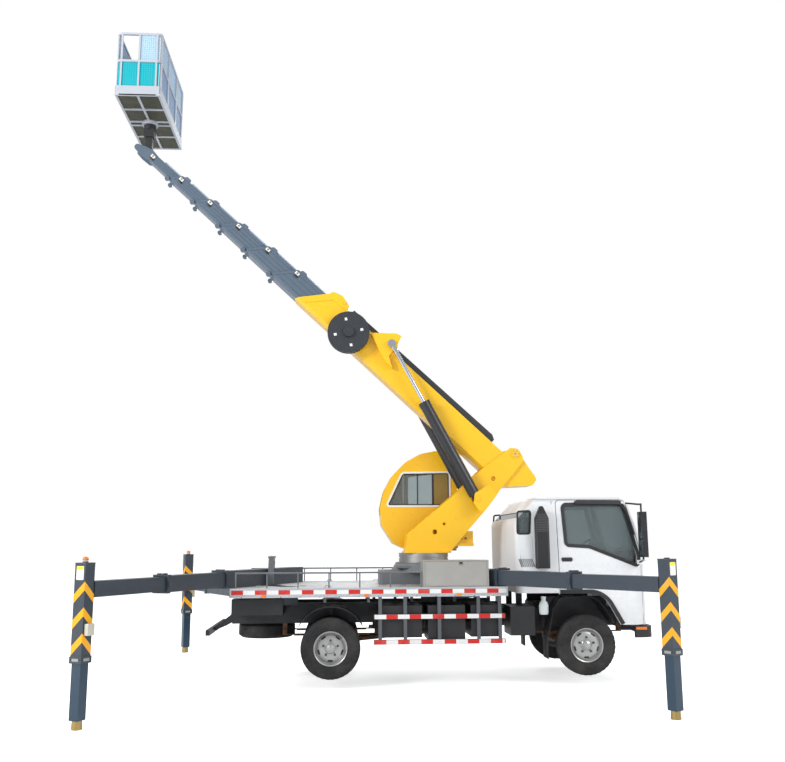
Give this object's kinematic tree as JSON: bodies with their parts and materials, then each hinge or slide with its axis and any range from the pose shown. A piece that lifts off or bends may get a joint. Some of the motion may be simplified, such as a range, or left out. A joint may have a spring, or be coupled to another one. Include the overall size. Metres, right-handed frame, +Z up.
{
  "type": "telescopic boom lift truck",
  "caption": "Light truck with a slewing telescopic boom, a work basket at its tip, an operator's cab and four telescopic outriggers that hold its wheels off the ground.",
  "frame": {"origin": "on the ground, in the middle of the four jack feet", "axes": "+X to the truck's front, +Y to its left, +Z up"},
  "size_m": [7.4255, 6.6654, 9.135],
  "materials": {
    "black_frame": "satin black chassis paint",
    "beam_paint": "dark blue-grey gloss paint",
    "checker_steel": "checker plate",
    "dark_rail": "grey paint",
    "guard_paint": "grey paint",
    "pedestal_paint": "grey paint",
    "stainless": "brushed",
    "black_plastic": "matt",
    "tyre_rubber": "matt",
    "cast_metal": "cast",
    "axle_paint": "satin black",
    "white_paint": "gloss",
    "tinted_glass": "tinted",
    "dark_trim": "grained",
    "bare_steel": "machined",
    "yellow_paint": "gloss",
    "reel_paint": "satin",
    "chromed_rod": "polished",
    "basket_metal": "brushed",
    "wheel_silver": "silver paint",
    "section_paint": "dark blue-grey gloss paint"
  },
  "bodies": {
    "chassis": {"chassis_frame": "black_frame", "outrigger_boxes": "beam_paint", "deck": "checker_steel", "deck_rail": "dark_rail", "side_guards": "guard_paint", "pedestal_and_rest": "pedestal_paint", "toolbox": "stainless", "underdeck_boxes": "black_plastic", "fenders_and_underrun": "black_plastic", "spare_wheel": "tyre_rubber", "engine_block": "cast_metal", "running_gear": "axle_paint"},
    "truck_cab": {"cab_shell": "white_paint", "cab_glass": "tinted_glass", "cab_interior": "dark_trim", "cab_trim": "black_plastic"},
    "truck_door_right": {"door_right": "white_paint", "door_glass_right": "tinted_glass"},
    "truck_door_left": {"door_left": "white_paint", "door_glass_left": "tinted_glass"},
    "steering_knuckle_right": {"knuckle_right": "axle_paint"},
    "steering_knuckle_left": {"knuckle_left": "axle_paint"},
    "front_wheel_right": {"tyre_front_right": "tyre_rubber", "rim_front_right": "wheel_silver"},
    "front_wheel_left": {"tyre_front_left": "tyre_rubber", "rim_front_left": "wheel_silver"},
    "rear_wheels_right": {"tyre_rear_right": "tyre_rubber", "rim_rear_right": "wheel_silver"},
    "rear_wheels_left": {"tyre_rear_left": "tyre_rubber", "rim_rear_left": "wheel_silver"},
    "tool_door": {"toolbox_door": "stainless"},
    "turntable": {"turntable_ring": "bare_steel", "turntable_frame": "yellow_paint", "operator_cab": "yellow_paint", "operator_glass": "tinted_glass"},
    "operator_cab_door": {"operator_door": "yellow_paint"},
    "boom": {"boom_base": "yellow_paint", "cable_carrier": "reel_paint"},
    "cylinder_barrels": {"lift_barrels": "beam_paint"},
    "cylinder_rods": {"lift_rods": "chromed_rod"},
    "basket_bracket": {"basket_mount": "black_frame"},
    "work_basket": {"basket": "basket_metal"},
    "telescope_1": {"boom_section_1": "section_paint"},
    "telescope_2": {"boom_section_2": "section_paint"},
    "telescope_3": {"boom_section_3": "section_paint"},
    "telescope_4": {"boom_section_4": "section_paint"},
    "telescope_5": {"boom_section_5": "section_paint"},
    "telescope_6": {"boom_section_6": "section_paint"},
    "outrigger_stage_1_front_right": {"stage_1_front_right": "beam_paint"},
    "outrigger_stage_2_front_right": {"stage_2_front_right": "beam_paint"},
    "jack_leg_front_right": {"jack_front_right": "beam_paint"},
    "outrigger_stage_1_rear_right": {"stage_1_rear_right": "beam_paint"},
    "outrigger_stage_2_rear_right": {"stage_2_rear_right": "beam_paint"},
    "jack_leg_rear_right": {"jack_rear_right": "beam_paint"},
    "outrigger_stage_1_front_left": {"stage_1_front_left": "beam_paint"},
    "outrigger_stage_2_front_left": {"stage_2_front_left": "beam_paint"},
    "jack_leg_front_left": {"jack_front_left": "beam_paint"},
    "outrigger_stage_1_rear_left": {"stage_1_rear_left": "beam_paint"},
    "outrigger_stage_2_rear_left": {"stage_2_rear_left": "beam_paint"},
    "jack_leg_rear_left": {"jack_rear_left": "beam_paint"}
  },
  "joints": [
    {"name": "cab_tilt", "type": "hinge", "parent": "chassis", "child": "truck_cab", "pos_m": [3.6, 0, 0.8], "axis": [0, 1, 0], "range_deg": [0, 45]},
    {"name": "truck_door_right_hinge", "type": "hinge", "parent": "truck_cab", "child": "truck_door_right", "pos_m": [3.5785, -0.935, 1.6], "axis": [0, 0, 1], "range_deg": [0, 70]},
    {"name": "truck_door_left_hinge", "type": "hinge", "parent": "truck_cab", "child": "truck_door_left", "pos_m": [3.5785, 0.935, 1.6], "axis": [0, 0, -1], "range_deg": [0, 70]},
    {"name": "steer_left", "type": "hinge", "parent": "chassis", "child": "steering_knuckle_left", "pos_m": [2.8, 0.7, 0.5075], "axis": [0, 0, 1], "range_deg": [-35, 35]},
    {"name": "steer_right", "type": "hinge", "parent": "chassis", "child": "steering_knuckle_right", "pos_m": [2.8, -0.7, 0.5075], "axis": [0, 0, 1], "range_deg": [-35, 35]},
    {"name": "front_wheel_right_spin", "type": "hinge", "parent": "steering_knuckle_right", "child": "front_wheel_right", "pos_m": [2.8, -0.86, 0.5075], "axis": [0, 1, 0], "continuous": true},
    {"name": "front_wheel_left_spin", "type": "hinge", "parent": "steering_knuckle_left", "child": "front_wheel_left", "pos_m": [2.8, 0.86, 0.5075], "axis": [0, 1, 0], "continuous": true},
    {"name": "rear_wheels_right_spin", "type": "hinge", "parent": "chassis", "child": "rear_wheels_right", "pos_m": [-0.56, -0.8, 0.5075], "axis": [0, 1, 0], "continuous": true},
    {"name": "rear_wheels_left_spin", "type": "hinge", "parent": "chassis", "child": "rear_wheels_left", "pos_m": [-0.56, 0.8, 0.5075], "axis": [0, 1, 0], "continuous": true},
    {"name": "tool_door_hinge", "type": "hinge", "parent": "chassis", "child": "tool_door", "pos_m": [1, -1.0953, 1.286], "axis": [1, 0, 0], "range_deg": [0, 90]},
    {"name": "slew", "type": "hinge", "parent": "chassis", "child": "turntable", "pos_m": [0.745, 0, 1.6], "axis": [0, 0, 1], "continuous": true},
    {"name": "operator_door_hinge", "type": "hinge", "parent": "turntable", "child": "operator_cab_door", "pos_m": [1.232, 0.9353, 2.4], "axis": [0, 0, -1], "range_deg": [0, 80]},
    {"name": "boom_lift", "type": "hinge", "parent": "turntable", "child": "boom", "pos_m": [2.064, 0, 3.093], "axis": [0, 1, 0], "range_deg": [-57, 37]},
    {"name": "cylinder_swing", "type": "hinge", "parent": "turntable", "child": "cylinder_barrels", "pos_m": [1.478, 0, 2.448], "axis": [0, 1, 0], "range_deg": [-60, 40]},
    {"name": "cylinder_rod", "type": "slide", "parent": "cylinder_barrels", "child": "cylinder_rods", "axis": [-0.4692, 0, 0.8831], "range_m": [-0.85, 0.55]},
    {"name": "telescope_1_slide", "type": "slide", "parent": "boom", "child": "telescope_1", "axis": [-0.7314, 0, 0.682], "range_m": [-0.38, 2.85]},
    {"name": "telescope_2_slide", "type": "slide", "parent": "telescope_1", "child": "telescope_2", "axis": [-0.7314, 0, 0.682], "range_m": [-0.38, 2.85]},
    {"name": "telescope_3_slide", "type": "slide", "parent": "telescope_2", "child": "telescope_3", "axis": [-0.7314, 0, 0.682], "range_m": [-0.38, 2.85]},
    {"name": "telescope_4_slide", "type": "slide", "parent": "telescope_3", "child": "telescope_4", "axis": [-0.7314, 0, 0.682], "range_m": [-0.38, 2.85]},
    {"name": "telescope_5_slide", "type": "slide", "parent": "telescope_4", "child": "telescope_5", "axis": [-0.7314, 0, 0.682], "range_m": [-0.38, 2.85]},
    {"name": "telescope_6_slide", "type": "slide", "parent": "telescope_5", "child": "telescope_6", "axis": [-0.7314, 0, 0.682], "range_m": [-0.38, 2.85]},
    {"name": "basket_level", "type": "hinge", "parent": "telescope_6", "child": "basket_bracket", "pos_m": [-3.37047, 0, 7.66849], "axis": [0, 1, 0], "range_deg": [-40, 60]},
    {"name": "basket_turn", "type": "hinge", "parent": "basket_bracket", "child": "work_basket", "pos_m": [-3.37047, 0, 8.1], "axis": [0, 0, 1], "range_deg": [-80, 80]},
    {"name": "outrigger_1_front_right", "type": "slide", "parent": "chassis", "child": "outrigger_stage_1_front_right", "axis": [0.5369, -0.8436, 0], "range_m": [-1.155, 0.1]},
    {"name": "outrigger_2_front_right", "type": "slide", "parent": "outrigger_stage_1_front_right", "child": "outrigger_stage_2_front_right", "axis": [0.5369, -0.8436, 0], "range_m": [-1.207, 0.1]},
    {"name": "jack_front_right", "type": "slide", "parent": "outrigger_stage_2_front_right", "child": "jack_leg_front_right", "axis": [0, 0, -1], "range_m": [-0.5, 0.1]},
    {"name": "outrigger_1_rear_right", "type": "slide", "parent": "chassis", "child": "outrigger_stage_1_rear_right", "axis": [-0.448, -0.894, 0], "range_m": [-1.083, 0.1]},
    {"name": "outrigger_2_rear_right", "type": "slide", "parent": "outrigger_stage_1_rear_right", "child": "outrigger_stage_2_rear_right", "axis": [-0.448, -0.894, 0], "range_m": [-1.132, 0.1]},
    {"name": "jack_rear_right", "type": "slide", "parent": "outrigger_stage_2_rear_right", "child": "jack_leg_rear_right", "axis": [0, 0, -1], "range_m": [-0.5, 0.1]},
    {"name": "outrigger_1_front_left", "type": "slide", "parent": "chassis", "child": "outrigger_stage_1_front_left", "axis": [0.5369, 0.8436, 0], "range_m": [-1.155, 0.1]},
    {"name": "outrigger_2_front_left", "type": "slide", "parent": "outrigger_stage_1_front_left", "child": "outrigger_stage_2_front_left", "axis": [0.5369, 0.8436, 0], "range_m": [-1.207, 0.1]},
    {"name": "jack_front_left", "type": "slide", "parent": "outrigger_stage_2_front_left", "child": "jack_leg_front_left", "axis": [0, 0, -1], "range_m": [-0.5, 0.1]},
    {"name": "outrigger_1_rear_left", "type": "slide", "parent": "chassis", "child": "outrigger_stage_1_rear_left", "axis": [-0.448, 0.894, 0], "range_m": [-1.083, 0.1]},
    {"name": "outrigger_2_rear_left", "type": "slide", "parent": "outrigger_stage_1_rear_left", "child": "outrigger_stage_2_rear_left", "axis": [-0.448, 0.894, 0], "range_m": [-1.132, 0.1]},
    {"name": "jack_rear_left", "type": "slide", "parent": "outrigger_stage_2_rear_left", "child": "jack_leg_rear_left", "axis": [0, 0, -1], "range_m": [-0.5, 0.1]}
  ],
  "couplings": [
    {"joint": "steer_right", "follows": "steer_left", "ratio": 1},
    {"joint": "cylinder_swing", "follows": "boom_lift", "ratio": 0.98},
    {"joint": "cylinder_rod", "follows": "boom_lift", "m_per_rad": 0.77},
    {"joint": "basket_level", "follows": "boom_lift", "ratio": -1},
    {"joint": "telescope_2_slide", "follows": "telescope_1_slide", "ratio": 1},
    {"joint": "telescope_3_slide", "follows": "telescope_1_slide", "ratio": 1},
    {"joint": "telescope_4_slide", "follows": "telescope_1_slide", "ratio": 1},
    {"joint": "telescope_5_slide", "follows": "telescope_1_slide", "ratio": 1},
    {"joint": "telescope_6_slide", "follows": "telescope_1_slide", "ratio": 1}
  ]
}
